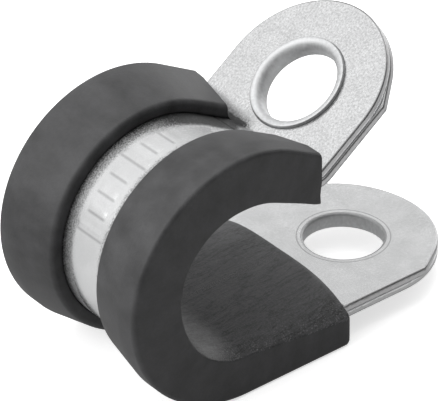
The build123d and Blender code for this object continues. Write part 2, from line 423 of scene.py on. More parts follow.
def half_section(route, liner, along, kept):
    """Half of the liner's section, from the middle of the inner face to the slot's far side.

    Gives its points as across and depth, how many of them are outside the slot, and how many touch the pipe.
    """
    half_gap = liner.channel_width / 2
    slope_start = HALF_LINER - liner.lip_shoulder
    crest = LINER_DEPTH - liner.lip_fall
    slope_run = slope_start - half_gap
    slope = math.degrees(math.atan2(liner.lip_fall, slope_run))
    fall, power = crown(route, liner, along)
    inner = crowned_face(liner, fall * kept, power, 24)
    outer = corner(
        (HALF_LINER - liner.outer_round, LINER_DEPTH - liner.outer_round), liner.outer_round, 0, 90, 8
    )
    bend = [(slope_start, LINER_DEPTH)]
    reach = liner.channel_round * math.tan(math.radians(90 - slope) / 2)
    seat = math.tan(math.radians(slope)) * reach / 2 - EDGE_SEAT * liner.channel_round
    edge_centre = (half_gap + liner.channel_round, crest + seat)
    edge = corner(edge_centre, liner.channel_round, 90 + slope, 90 - slope, 7)
    toe_centre = (half_gap + liner.toe_round, route.band_out + liner.toe_round)
    toe = corner(toe_centre, liner.toe_round, 180, 90, 4)
    points = inner + line(inner[-1], outer[0], 6) + outer
    points += line(outer[-1], bend[0], 2) + bend
    points += line(bend[0], edge[0], 8) + edge
    points += line(edge[-1], toe[0], 4) + toe
    outside = len(points)
    points += line(toe[-1], (HALF_BAND, route.band_out), 3)
    points += [(HALF_BAND, route.band_out), (HALF_BAND, route.band_in)]
    points += line((HALF_BAND, route.band_in), (0.0, route.band_in), 6)
    return points, outside, len(inner) - FREE_POINTS


def liner_section(route, liner, along):
    """Closed section of the liner, with the length walked round it."""
    kept = 1.0 - (1.0 - liner.far_kept) * smooth_step(-along / LOOP_RADIUS)
    halves = []
    for side, share_kept in ((1, kept), (-1, 1.0)):
        points, outside, inner = half_section(route, liner, along, share_kept)
        halves.append([
            (side * across, depth, index < outside, index < inner)
            for index, (across, depth) in enumerate(points)
        ])
    far, near = halves
    ring = far + [(0.0, route.band_in, False, False)] + list(reversed(near[1:]))
    section = []
    walked = 0.0
    before = ring[0]
    for across, depth, free, touching in ring:
        walked += math.hypot(across - before[0], depth - before[1])
        section.append(Point(across, depth, walked, free, float(touching)))
        before = (across, depth)
    return section


def inward(section):
    """Unit directions into the rubber at each vertex of the section, zero where the slot must stay."""
    directions = []
    for before, point, after in zip(section[-1:] + section, section, section[1:] + section[:1]):
        along = Vector((after.across - before.across, after.depth - before.depth)).normalized()
        directions.append(Vector((-along.y, along.x)) if point.free else Vector((0.0, 0.0)))
    return directions


def liner_rings(route, liner):
    """Rings of the sweep from the tongue's cut end to the limb's, each a list of place and route values."""
    limb_run = liner.upper_end - LOOP_RADIUS * route.limb_out.x
    rings = []

    def ring(middle, along_of, inset):
        section = liner_section(route, liner, middle)
        row = []
        for point, normal in zip(section, inward(section)):
            side = point.across + normal.x * inset
            deep = point.depth + normal.y * inset
            along = along_of(side, deep)
            lean, sag = slack(along, side, deep)
            place = route.place(along + lean, side, deep - sag)
            row.append((place, (along + lean, point.walked, point.depth), point.touching))
        rings.append(row)

    def slack(along, side, deep):
        grown = clamped((along - route.arc_length) / liner.far_run)
        outward = max(side - liner.channel_width / 2, 0.0) / (HALF_LINER - liner.channel_width / 2)
        height = grown * smooth_step((deep - route.band_in) / (LINER_DEPTH - route.band_in))
        sag = smooth_step(min(outward, 2.0 * SAG_PEAK - outward) / SAG_PEAK)
        return liner.far_lean * outward * height, liner.far_sag * sag * height

    def limb_along(deep, run):
        start = (LOOP_RADIUS + deep) * route.limb_out.x
        return route.arc_length + (liner.upper_end - start) / route.limb_dir.x * run

    def rounded_off(reached, edge, radius):
        over = clamped((reached - edge) / radius + 1.0)
        return radius * (1.0 - math.sqrt(1.0 - over ** 2))

    def end_back(side, deep):
        corner_off = rounded_off(abs(side), HALF_LINER, liner.tongue_corner)
        return corner_off + rounded_off(deep, LINER_DEPTH, liner.nose_round)

    for rise, run in reversed(quarter(END_STEPS)[1:]):
        back = liner.lower_end_round * (1.0 - rise)
        inset = liner.lower_end_round * (1.0 - run)
        ring(TONGUE_END, lambda side, deep: TONGUE_END + back + end_back(side, deep), inset)
    for done in spread(0.0, 1.0, TONGUE_STEPS)[1:]:
        fade = max(1.0 - done / END_FADE, 0.0)
        along = (TONGUE_END + liner.lower_end_round) * (1.0 - done)
        ring(along, lambda side, deep: along + end_back(side, deep) * fade, 0.0)
    for along in spread(0.0, route.arc_length, ARC_STEPS)[1:]:
        ring(along, lambda side, deep: along, 0.0)
    for done in spread(0.0, 1.0, LIMB_STEPS)[1:-1]:
        middle = route.arc_length + limb_run * done
        ring(middle, lambda side, deep: limb_along(deep, done * PLAIN_LIMB), 0.0)
    for rise, run in quarter(END_STEPS):
        back = liner.upper_end_round * (1.0 - rise)
        inset = liner.upper_end_round * (1.0 - run)
        ring(route.arc_length + limb_run, lambda side, deep: limb_along(deep, 1.0) - back, inset)
    return rings


def build_liner():
    """Mesh of the rubber liner."""
    route = Route(chosen("profile"))
    liner = chosen("liner")
    rings = liner_rings(route, liner)
    count = len(rings[0])
    verts = [spot for row in rings for spot, _, _ in row]
    loops = [tuple(range(start, start + count)) for start in range(0, len(verts), count)]
    faces = [face for before, after in zip(loops, loops[1:]) for face in bridge(before, after)]
    faces += [loops[0], loops[-1][::-1]]
    mesh_data = bpy.data.meshes.new("liner_rubber")
    mesh_data.from_pydata(verts, [], faces)
    write_route(mesh_data, [values for row in rings for _, values, _ in row])
    contact = mesh_data.attributes.new("pipe_contact", "FLOAT", "POINT")
    contact.data.foreach_set("value", [touching for row in rings for _, _, touching in row])
    solid = bmesh.new()
    solid.from_mesh(mesh_data)
    bmesh.ops.triangulate(solid, faces=[face for face in solid.faces if len(face.verts) > 4])
    bmesh.ops.recalc_face_normals(solid, faces=solid.faces)
    solid.to_mesh(mesh_data)
    solid.free()
    piece = publish("rubber_liner", mesh_data, [rubber_material(liner)], ["liner"])
    smooth_faces(piece, 50)
    return piece


# Sheet metal

# The fine rows of the channel run on this far under the lips.
CHANNEL_MARGIN = 0.2 * MM

# Plain rows closer to a tick's edge than this are left out, along and across the band.
GAP_ALONG = 0.05 * MM
GAP_ACROSS = 0.06 * MM

# A collar's wall ends this far above its plate.
SEAM = 0.01 * MM

# A hole of a sheet: the spots on its edge, its middle on the route, the ear's direction, the spots' angles.
Hole = namedtuple("Hole", "edge middle toward angles")


class Pattern:
    """Flat pattern of a sheet piece: spots as along and across, and four-sided faces between them."""

    def __init__(self):
        self.spots = []
        self.faces = []
        self.known = {}
        self.holes = []

    def spot(self, along, across):
        """Index of the spot at that place, made if it is new."""
        key = (round(along / MERGE), round(across / MERGE))
        if key not in self.known:
            self.known[key] = len(self.spots)
            self.spots.append((along, across))
        return self.known[key]

    def strip(self, alongs, rows):
        """Plain grid of sheet."""
        grid = [[self.spot(along, across) for across in rows] for along in alongs]
        for low, high in zip(grid, grid[1:]):
            for index in range(len(rows) - 1):
                self.faces.append((low[index], high[index], high[index + 1], low[index + 1]))

    def ear(self, hole, toward, reach, rows, outline, radius, rings):
        """Sheet round a hole, in rings at given shares of the way out to the outline and the strip."""
        edge = [(-reach, rows[0])] + outline + [(-reach, across) for across in reversed(rows[1:])]
        loops = []
        for part in rings:
            loop = []
            for run, across in edge:
                size = math.hypot(run, across)
                scale = (radius + (size - radius) * part) / size
                loop.append(self.spot(hole + toward * run * scale, across * scale))
            loops.append(loop)
        count = len(edge)
        for low, high in zip(loops, loops[1:]):
            for index in range(count):
                after = (index + 1) % count
                if low[index] != low[after]:
                    self.faces.append((low[index], high[index], high[after], low[after]))
        self.holes.append(Hole(loops[0], hole, toward, [math.atan2(across, run) for run, across in edge]))


def band_outline(reach, radius):
    """Outline of the band's end past the strip: straight sides and a half-round tip."""
    points = [(run, -radius) for run in spread(-reach, 0.0, 10)[1:-1]]
    for angle in spread(-90.0, 90.0, 64):
        turned = math.radians(angle)
        points.append((radius * math.cos(turned), radius * math.sin(turned)))
    points += [(run, radius) for run in spread(0.0, -reach, 10)[1:-1]]
    return points


def plate_outline(reach, shoulder):
    """Outline of a plate past the strip: straight sides, a corner, and the round tip."""
    far = math.hypot(shoulder, HALF_PLATE)
    touch = math.atan2(HALF_PLATE, shoulder) - math.acos(HALF_BAND / far)
    landing = (HALF_BAND * math.cos(touch), HALF_BAND * math.sin(touch))
    side = [(run, HALF_PLATE) for run in spread(-reach, shoulder, 14)[1:]]
    side += line((shoulder, HALF_PLATE), landing, 4)
    upper = []
    for angle in spread(0.0, touch, 26)[1:]:
        upper.append((HALF_BAND * math.cos(angle), HALF_BAND * math.sin(angle)))
    lower = [(run, -across) for run, across in side + list(reversed(upper))]
    return lower + [(HALF_BAND, 0.0)] + upper + list(reversed(side))


def rows_across(half_width, channel, fine, coarse):
    """Places across a sheet, close together in the channel."""
    edge = channel / 2 + CHANNEL_MARGIN
    near = spread(-half_width, -edge, coarse)[:-1]
    return near + spread(-edge, edge, fine) + spread(edge, half_width, coarse)[1:]


def free_edges(pattern):
    """Edges of a flat pattern that only one of its faces uses."""
    uses = {}
    for face in pattern.faces:
        for start, end in zip(face, face[1:] + face[:1]):
            uses.setdefault(frozenset((start, end)), []).append((start, end))
    return [edges[0] for edges in uses.values() if len(edges) == 1]


def draw_collar(route, hole, profile, values, verts):
    """Adds the vertices of a drawn collar round a hole, and gives the indices in each of its rings."""
    rings = []
    for radius, depth in profile:
        rings.append(list(range(len(verts), len(verts) + len(hole.angles))))
        for angle in hole.angles:
            along = hole.middle + hole.toward * radius * math.cos(angle)
            value = (along, radius * math.sin(angle), depth)
            verts.append(route.place(*value))
            values.append(value)
    return rings


def build_sheet(name, node, pattern, route, low, high, outer_extra, collar, steel, plating):
    """Solid sheet from a flat pattern, with rounded edges and, where a collar is given, drawn holes."""
    values = [(*spot, depth) for depth in (low, high) for spot in pattern.spots]
    verts = [route.place(*spot, low) for spot in pattern.spots]
    verts += [route.place(*spot, high + outer_extra(*spot)) for spot in pattern.spots]
    shift = len(pattern.spots)
    faces = [tuple(reversed(face)) for face in pattern.faces]
    faces += [tuple(index + shift for index in face) for face in pattern.faces]
    sheet_faces = len(faces)
    hole_spots = {index for hole in pattern.holes for index in hole.edge}
    border = []
    for start, end in free_edges(pattern):
        at_hole = start in hole_spots and end in hole_spots
        if not (at_hole and collar):
            faces.append((start, end, end + shift, start + shift))
        if not at_hole:
            border += [(start, end), (start + shift, end + shift)]
    side_faces = len(faces)
    if collar:
        for hole in pattern.holes:
            rings = [hole.edge, *draw_collar(route, hole, collar, values, verts)]
            rings.append([index + shift for index in hole.edge])
            for before, after in zip(rings, rings[1:]):
                faces += bridge(before, after)
    mesh_data = bpy.data.meshes.new(name)
    mesh_data.from_pydata(verts, [], faces)
    write_route(mesh_data, values)
    for index, polygon in enumerate(mesh_data.polygons):
        polygon.material_index = 0 if index < sheet_faces else 1 if index < side_faces else 2
    mark_border(mesh_data, border)
    burnish = steel.plate_burnish_shade if collar else steel.band_burnish_highlight
    materials = [plating, shear_material(steel, low, high, burnish)]
    if collar:
        materials.append(collar_material(steel, low, pattern.holes[0].middle))
    piece = publish(name, mesh_data, materials, [node])
    rounding = piece.modifiers.new("rounded_edges", "BEVEL")
    rounding.limit_method = "WEIGHT"
    rounding.width = steel.edge_round
    rounding.segments = 3
    rounding.material = 1
    smooth_faces(piece, 40)
    return piece


def mark_border(mesh_data, border):
    """Turns all faces outward and weights the edges that are to be rounded."""
    solid = bmesh.new()
    solid.from_mesh(mesh_data)
    bmesh.ops.recalc_face_normals(solid, faces=solid.faces)
    weights = solid.edges.layers.float.new("bevel_weight_edge")
    solid.verts.ensure_lookup_table()
    for start, end in border:
        solid.edges.get((solid.verts[start], solid.verts[end]))[weights] = 1.0
    solid.to_mesh(mesh_data)
    solid.free()


# Band and plates


def tick_lines(middles, half_size, slope):
    """Places where the sloping sides of the ticks begin and end."""
    reaches = (half_size - slope / 2, half_size + slope / 2)
    return [middle + side * reach for middle in middles for side in (-1, 1) for reach in reaches]


def with_lines(places, lines, gap):
    """Places in order with extra lines, less those that lie within a gap of a line."""
    kept = [place for place in places if min(abs(place - extra) for extra in lines) > gap]
    return sorted(kept + lines)


def band_face(route, steel):
    """Extra depth of the band's outer face: raised ticks in the channel, and the limb's press line."""
    crease = route.arc_length + steel.crease_run

    def within(place, half_size, slope):
        return clamped(0.5 - (abs(place) - half_size) / slope)

    def extra(along, across):
        number = round((along - steel.mark_start) / steel.mark_pitch)
        number = min(max(number, 0), steel.mark_count - 1)
        offset = along - steel.mark_start - number * steel.mark_pitch
        half_length = steel.mark_short if number % 4 else steel.mark_long
        tick = steel.mark_height * within(offset, steel.mark_half_width, steel.mark_slope)
        tick *= within(across, half_length, steel.mark_taper)
        return tick - steel.crease_depth * smooth_step(1.0 - abs(along - crease) / steel.crease_half_width)

    return extra


def build_band():
    """The band: one strip with an ear at each end."""
    route = Route(chosen("profile"))
    steel = chosen("steel")
    liner = chosen("liner")
    ends = tick_lines((0.0,), steel.mark_short, steel.mark_taper)
    ends += tick_lines((0.0,), steel.mark_long, steel.mark_taper)
    rows = with_lines(rows_across(HALF_BAND, liner.channel_width, 24, 7), ends, GAP_ACROSS)
    hole_radius = BORE_RADIUS + steel.collar_wall
    pattern = Pattern()
    for hole, toward, reach in (
        (route.lower_hole, -1.0, steel.band_reach),
        (route.upper_hole, 1.0, route.upper_hole - route.bend_end),
    ):
        outline = band_outline(reach, HALF_BAND)
        pattern.ear(hole, toward, reach, rows, outline, hole_radius, (0.0, 0.18, 0.4, 0.7, 1.0))
    middles = [steel.mark_start + steel.mark_pitch * number for number in range(steel.mark_count)]
    sides = tick_lines(middles, steel.mark_half_width, steel.mark_slope)
    alongs = spread(route.lower_hole + steel.band_reach, 0.0, 10)
    alongs += with_lines(spread(0.0, route.arc_length, ARC_STEPS)[1:], sides, GAP_ALONG)
    alongs += spread(route.arc_length, route.bend_start, 56)[1:]
    alongs += spread(route.bend_start, route.bend_end, BEND_STEPS)[1:]
    pattern.strip(alongs, rows)
    return build_sheet(
        "steel_band", "band", pattern, route, route.band_in, route.band_out, band_face(route, steel), None,
        steel, band_material(route, liner, steel),
    )


def collar_profile(route, steel):
    """Radius and depth of a drawn collar past the hole's edge: entry round, bore, funnel, rim and wall."""
    low = route.plate_in
    top = route.band_out
    crest = steel.rim_radius - steel.rim_round
    foot = top - steel.funnel_depth
    points = [
        (BORE_RADIUS + steel.entry_round * (1.0 - rise), low + steel.entry_round * (1.0 - run))
        for rise, run in quarter(6)[1:]
    ]
    funnel_rise = steel.funnel_depth + steel.collar_rise
    points += [
        (BORE_RADIUS + (crest - BORE_RADIUS) * (1.0 - run), foot + funnel_rise * rise)
        for rise, run in quarter(14)
    ]
    points += [
        (crest + steel.rim_round * rise, top + steel.collar_rise - steel.rim_round * (1.0 - run))
        for rise, run in quarter(4)[1:]
    ]
    wall = BORE_RADIUS + steel.collar_wall
    return points + [(steel.rim_radius, top), (wall, top), (wall, route.band_in + SEAM)]


def build_plate(name, node, hole, toward, reach, runs):
    """One reinforcing plate with its drawn collar; each run is a stretch of plain strip and its steps."""
    route = Route(chosen("profile"))
    steel = chosen("steel")
    rows = spread(-HALF_PLATE, HALF_PLATE, 24)
    pattern = Pattern()
    pattern.ear(
        hole, toward, reach, rows, plate_outline(reach, steel.shoulder_run),
        BORE_RADIUS + steel.entry_round, (0.0, 0.3, 0.65, 1.0),
    )
    alongs = []
    for low, high, count in runs:
        alongs += spread(low, high, count)[1 if alongs else 0:]
    pattern.strip(alongs, rows)
    return build_sheet(
        name, node, pattern, route, route.plate_in, route.band_in, lambda along, across: 0.0,
        collar_profile(route, steel), steel, plate_material(name + "_zinc_plate", steel, hole),
    )


def build_plates():
    """Both plates, on the mating sides of the two ears."""
    route = Route(chosen("profile"))
    steel = chosen("steel")
    upper_runs = (
        (route.bend_start - steel.plate_tail, route.bend_start, 4),
        (route.bend_start, route.bend_end, BEND_STEPS),
    )
    upper_reach = route.upper_hole - route.bend_end
    build_plate("upper_plate", "plate_upper", route.upper_hole, 1.0, upper_reach, upper_runs)
    lower_runs = ((route.lower_hole + steel.plate_reach, TONGUE_END + steel.hidden_tail, 2),)
    build_plate("lower_plate", "plate_lower", route.lower_hole, -1.0, steel.plate_reach, lower_runs)


# Materials: places and lengths in their nodes are in millimetres, apart from the relief of a bump

# Most values of a noise lie in this span, and its middle part lies in the narrower one.
NOISE_SPAN = (0.3, 0.7)
CLOUD_SPAN = (0.35, 0.65)

# How far from its middle a thin line begins to fade, and where it is gone.
LINE_EDGE = (0.02, 0.09)

STEEL_RELIEF = 0.02 * MM
RUBBER_RELIEF = 0.04 * MM
METAL = {"Metallic": 1.0}
MATTE = {"Specular IOR Level": 0.45}


class Finish:
    """Node tree of a material or a world, with a short name for each step that the finishes share."""

    def __init__(self, owner):
        owner.use_nodes = True
        self.owner = owner
        self.tree = owner.node_tree

    def node(self, kind, inputs=None, **options):
        """A new node, with its options set and its inputs set or linked."""
        made = self.tree.nodes.new(kind)
        for key, value in options.items():
            setattr(made, key, value)
        for key, value in (inputs or {}).items():
            self.feed(made.inputs[key], value)
        return made

    def feed(self, socket, value):
        """Links an output to a socket, or sets the socket to a plain value."""
        if isinstance(value, bpy.types.NodeSocket):
            self.tree.links.new(value, socket)
        else:
            socket.default_value = value

    def joined(self, operation, first, *others):
        """Values joined one after another by one kind of arithmetic."""
        for other in others:
            first = self.node("ShaderNodeMath", {0: first, 1: other}, operation=operation).outputs[0]
        return first

    def plus(self, *values):
        """Sum of the values."""
        return self.joined("ADD", *values)

    def minus(self, first, second):
        """The first value less the second."""
        return self.joined("SUBTRACT", first, second)

    def times(self, *values):
        """Product of the values."""
        return self.joined("MULTIPLY", *values)

    def larger(self, first, second):
        """The larger of two values."""
        return self.joined("MAXIMUM", first, second)

    def smaller(self, first, second):
        """The smaller of two values."""
        return self.joined("MINIMUM", first, second)

    def size(self, value):
        """The value without its sign."""
        return self.node("ShaderNodeMath", {0: value}, operation="ABSOLUTE").outputs[0]

    def ranged(self, value, span, result, **options):
        """The value carried from one span to another, and kept within it."""
        ends = {"From Min": span[0], "From Max": span[1], "To Min": result[0], "To Max": result[1]}
        return self.node("ShaderNodeMapRange", {"Value": value, **ends}, **options).outputs["Result"]

    def noise(self, place, scale=1.0, detail=2.0, roughness=0.5, distortion=0.0):
        """Soft random values round one half."""
        inputs = {"Vector": place, "Scale": scale, "Detail": detail, "Roughness": roughness}
        return self.node("ShaderNodeTexNoise", {**inputs, "Distortion": distortion}).outputs["Fac"]

    def stretched(self, place, scale):
        """Coordinates scaled by a factor in each direction."""
        return self.node("ShaderNodeMapping", {"Vector": place, "Scale": scale}).outputs["Vector"]

    def bump(self, strength, relief, height):
        """Normal of a fine relief."""
        inputs = {"Strength": strength, "Distance": relief, "Height": height}
        return self.node("ShaderNodeBump", inputs).outputs["Normal"]

    def route(self):
        """The vertex's place on the route, in millimetres."""
        return self.node("ShaderNodeAttribute", attribute_name="route_mm").outputs["Vector"]

    def place(self):
        """The piece's own coordinates, in millimetres."""
        return self.stretched(self.node("ShaderNodeTexCoord").outputs["Object"], (1.0 / MM,) * 3)

    def split(self, vector):
        """X, Y and Z of a vector."""
        return tuple(self.node("ShaderNodeSeparateXYZ", {"Vector": vector}).outputs)

    def tinted(self, colour_value, shade):
        """A colour times a shade."""
        inputs = {0: tuple(colour_value), "Scale": shade}
        return self.node("ShaderNodeVectorMath", inputs, operation="SCALE").outputs[0]

    def ring_line(self, along, across, hole, radius, strength):
        """Thin line round a hole, from 0 to the given strength."""
        from_hole = self.minus(along, hole / MM)
        away = self.node("ShaderNodeCombineXYZ", {0: from_hole, 1: across}).outputs[0]
        distance = self.node("ShaderNodeVectorMath", {0: away}, operation="LENGTH").outputs["Value"]
        return self.ranged(self.size(self.minus(distance, radius / MM)), LINE_EDGE, (strength, 0.0))

    def shaded(self, tone, rough, normal, constants):
        """Connects the surface to the shader, sets the shader's constants and gives the material."""
        shader = self.tree.nodes["Principled BSDF"]
        for name, value in (("Base Color", tone), ("Roughness", rough), ("Normal", normal)):
            self.feed(shader.inputs[name], value)
        for name, value in constants.items():
            shader.inputs[name].default_value = value
        return self.owner


def new_finish(name):
    """A new material's nodes."""
    return Finish(bpy.data.materials.new(name))


def zinc_plate(nodes, coarse, cloudy):
    """Shade, roughness and normal of bright zinc plate, from its grain's strength and its darkest cloud."""
    place = nodes.place()
    grain = nodes.noise(place, scale=6.0, detail=3.0, roughness=0.65)
    clouds = nodes.noise(place, scale=0.45)
    speckle = nodes.times(nodes.ranged(grain, NOISE_SPAN, (-0.16, 0.08)), coarse)
    shade = nodes.times(nodes.ranged(clouds, CLOUD_SPAN, (cloudy, 1.0)), nodes.plus(speckle, 1.0))
    rough = nodes.ranged(grain, NOISE_SPAN, (0.18, 0.26))
    return shade, rough, nodes.bump(nodes.times(coarse, 0.3), STEEL_RELIEF, grain)


def plate_material(name, steel, hole):
    """Bright zinc plate of a reinforcing plate, with the drawing tool's faint line round its hole."""
    nodes = new_finish(name)
    along, across, _ = nodes.split(nodes.route())
    shade, rough, normal = zinc_plate(nodes, coarse=0.55, cloudy=0.9)
    tool_line = nodes.ring_line(along, across, hole, BORE_RADIUS + steel.tool_line, 0.3)
    tone = nodes.tinted(steel.zinc, nodes.times(shade, nodes.minus(1.0, tool_line)))
    return nodes.shaded(tone, rough, normal, METAL)


def tick_foot_shade(nodes, along, across, steel):
    """Painted shade round the ticks: a thin darker line at the foot of one long side of each, where a tick's
    shade falls.
    """
    pitch = steel.mark_pitch / MM
    steps = nodes.joined("DIVIDE", nodes.minus(along, steel.mark_start / MM), pitch)
    nearest = nodes.node("ShaderNodeMath", {0: steps}, operation="ROUND").outputs[0]
    number = nodes.smaller(nodes.larger(nearest, 0.0), steel.mark_count - 1.0)
    offset = nodes.times(nodes.minus(steps, number), pitch)
    fourth = nodes.joined("MODULO", number, 4.0)
    half_length = nodes.ranged(fourth, (0.0, 1.0), (steel.mark_long / MM, steel.mark_short / MM))
    past_end = nodes.minus(nodes.size(across), half_length)
    from_foot = nodes.size(nodes.plus(offset, (steel.mark_half_width + steel.mark_slope / 2) / MM))
    painted_shade = nodes.times(
        nodes.ranged(from_foot, (0.02, 0.12), (0.3, 0.0)), nodes.ranged(past_end, (0.0, 0.3), (1.0, 0.0))
    )
    return nodes.minus(1.0, painted_shade)


def lip_painted_shade(nodes, along, from_middle, route, liner, steel):
    """Ragged strip of painted shade beside each lip, standing for the lip's dark reflection: stronger toward
    the limb, and gone before the bend.
    """
    arc_end = route.arc_length / MM
    lip = liner.channel_width / 2 / MM
    border = steel.border / MM
    turn = lip - 0.75 * border
    outer_part = nodes.ranged(from_middle, (lip - border, turn), (0.0, 0.5))
    inner_part = nodes.ranged(from_middle, (turn, lip), (0.0, 0.3))
    stronger = nodes.ranged(along, (arc_end - 6.0, arc_end), (0.9, 1.4))
    gone = nodes.ranged(along, (arc_end + 1.5, route.bend_start / MM), (1.0, 0.0))
    return nodes.times(nodes.plus(outer_part, inner_part), gone, stronger)


def far_shadow(nodes, along, far, route, steel):
    """Painted shade on the far half of the channel: wide over the loop's top, where it paints out the
    overhead softbox's reflection, and in the limb's hollow before the bend.
    """
    arc_end = route.arc_length / MM
    bend_end = route.bend_end / MM
    crease = arc_end + steel.crease_run / MM
    fading = nodes.ranged(along, (bend_end - 1.0, bend_end + 1.1), (1.0, 0.0))
    growing = nodes.ranged(along, (arc_end - 5.5, arc_end - 1.5), (0.0, 1.0))
    widening = nodes.ranged(along, (arc_end - 4.0, arc_end), (1.5, 0.0))
    narrowing = nodes.ranged(along, (arc_end + 2.2, arc_end + 4.2), (0.0, 1.6))
    past_brink = nodes.minus(far, nodes.larger(widening, narrowing))
    wide = nodes.times(growing, fading, nodes.ranged(past_brink, (-0.4, 0.4), (0.0, 0.95)))
    past_crease = nodes.ranged(along, (crease - 0.5, crease + 0.2), (0.0, 1.0))
    hollow = nodes.times(past_crease, fading, nodes.ranged(far, (0.4, 1.6), (0.0, 1.0)))
    return nodes.larger(wide, hollow)


def channel_painted_shade(nodes, along, across, route, liner, steel):
    """How much painted shade the band takes, from 0 to 1: beside the lips, over the far half of the channel,
    and as a line round the upper collar's rim.
    """
    specks = nodes.noise(nodes.place(), scale=8.0, detail=3.0, roughness=0.75)
    wander = nodes.ranged(specks, NOISE_SPAN, (-0.25, 0.25))
    beside = lip_painted_shade(nodes, along, nodes.plus(nodes.size(across), wander), route, liner, steel)
    far = far_shadow(nodes, along, nodes.plus(across, wander), route, steel)
    painted_shade = nodes.times(nodes.larger(beside, far), nodes.ranged(specks, CLOUD_SPAN, (0.7, 1.25)))
    # Painted shade: a dark line on the band at the foot of the upper collar's rim.
    rim = nodes.ring_line(along, across, route.upper_hole, steel.rim_radius, 0.7)
    return nodes.smaller(nodes.larger(painted_shade, rim), 1.0)


def band_material(route, liner, steel):
    """Zinc plate of the band: grainy on the ears, with painted shade beside the lips, over the far half of
    the channel, round the upper rim and at the feet of the ticks, and rougher where the channel's painted
    shade lies.
    """
    nodes = new_finish("band_zinc_plate")
    along, across, _ = nodes.split(nodes.route())
    coarse = nodes.ranged(along, (route.bend_start / MM, route.bend_end / MM + 1.0), (0.3, 1.7))
    shade, rough, normal = zinc_plate(nodes, coarse, cloudy=0.94)
    painted_shade = channel_painted_shade(nodes, along, across, route, liner, steel)
    # Painted shade darkens the base colour, and the same mask makes the plating rougher.
    with_painted_shade = nodes.times(shade, nodes.ranged(painted_shade, (0.0, 0.8), (1.0, 0.08)))
    rougher = nodes.plus(rough, nodes.ranged(painted_shade, (0.0, 0.45), (0.0, 0.35)))
    tone = nodes.tinted(steel.zinc, nodes.times(with_painted_shade, tick_foot_shade(nodes, along, across, steel)))
    return nodes.shaded(tone, rougher, normal, METAL)


def collar_material(steel, low, hole):
    """Drawn collars: burnished, with fine lines along the drawing, and painted shade that tones down the
    highlights on the hole's entry round and round the rim.
    """
    nodes = new_finish("drawn_collar_steel")
    route = nodes.route()
    along, across, depth = nodes.split(route)
    drawn = nodes.noise(nodes.stretched(route, (4.0, 4.0, 2.5)), detail=3.0)
    # Painted shade: darker toward the mating face's edge of the entry round.
    entry = nodes.ranged(depth, (low / MM, (low + steel.entry_round) / MM), (0.6, 1.0))
    # Painted shade: a darker line round the rim's outer edge.
    rim = nodes.minus(1.0, nodes.ring_line(along, across, hole, steel.rim_radius, 0.45))
    tone = nodes.tinted(steel.drawn, nodes.times(nodes.ranged(drawn, NOISE_SPAN, (0.86, 1.08)), entry, rim))
    rough = nodes.ranged(drawn, NOISE_SPAN, (0.56, 0.68))
    return nodes.shaded(tone, rough, nodes.bump(0.2, STEEL_RELIEF, drawn), METAL)


def shear_material(steel, low, high, burnish):
    """Cut edges of a sheet: burnished where the cut begins, then grey, and dark where it tore off; where the
    cut begins, the tone also holds a painted highlight on the band and painted shade on the plates.
    """
    nodes = new_finish("sheared_steel_edge")
    route = nodes.route()
    _, _, depth = nodes.split(route)
    cuts = nodes.noise(nodes.stretched(route, (3.0, 3.0, 6.0)))
    through = nodes.ranged(depth, (low / MM, high / MM), (0.0, 1.0))
    ragged = nodes.plus(through, nodes.ranged(cuts, NOISE_SPAN, (-0.1, 0.1)))
    # Besides the burnish, a painted highlight on the band and painted shade on the plates where the cut
    # begins.
    cut = nodes.ranged(ragged, (0.2, 0.4), (burnish, 1.0))
    torn = nodes.ranged(ragged, (0.72, 0.95), (1.0, 0.45))
    tone = nodes.tinted(steel.shear, nodes.times(cut, torn, nodes.ranged(cuts, NOISE_SPAN, (0.9, 1.06))))
    rough = nodes.ranged(cuts, NOISE_SPAN, (0.32, 0.44))
    return nodes.shaded(tone, rough, nodes.bump(0.2, STEEL_RELIEF, cuts), METAL)


def painted_light_and_scratches(nodes, along, side, route, lines, grain, liner):
    """How much paler the inner face is: painted light that grows toward the back, with drawn lines,
    scratches, grain and painted shade over the near corner.
    """
    streak = nodes.ranged(lines, NOISE_SPAN, (-0.48, 0.48))
    # Painted light: the inner face's paleness, less toward the front edge.
    far = nodes.ranged(side, (-8.0, 5.0), (liner.inner_painted_light - 0.42, liner.inner_painted_light + 0.16))
    wave = nodes.noise(nodes.stretched(route, (0.22, 0.9, 1.0)), detail=4.0, roughness=0.7, distortion=0.8)
    scratch = nodes.ranged(nodes.size(nodes.minus(wave, 0.5)), (0.0, 0.04), (-0.75, 0.0))
    grainy = nodes.ranged(grain, NOISE_SPAN, (-0.3, 0.3))
    # Painted shade over the near corner at the loop's foot.
    painted_corner_shade = nodes.times(
        nodes.ranged(along, (0.5, 3.0), (0.0, -0.4)), nodes.ranged(side, (-5.5, -2.5), (1.0, 0.0))
    )
    return nodes.plus(streak, far, scratch, grainy, painted_corner_shade)


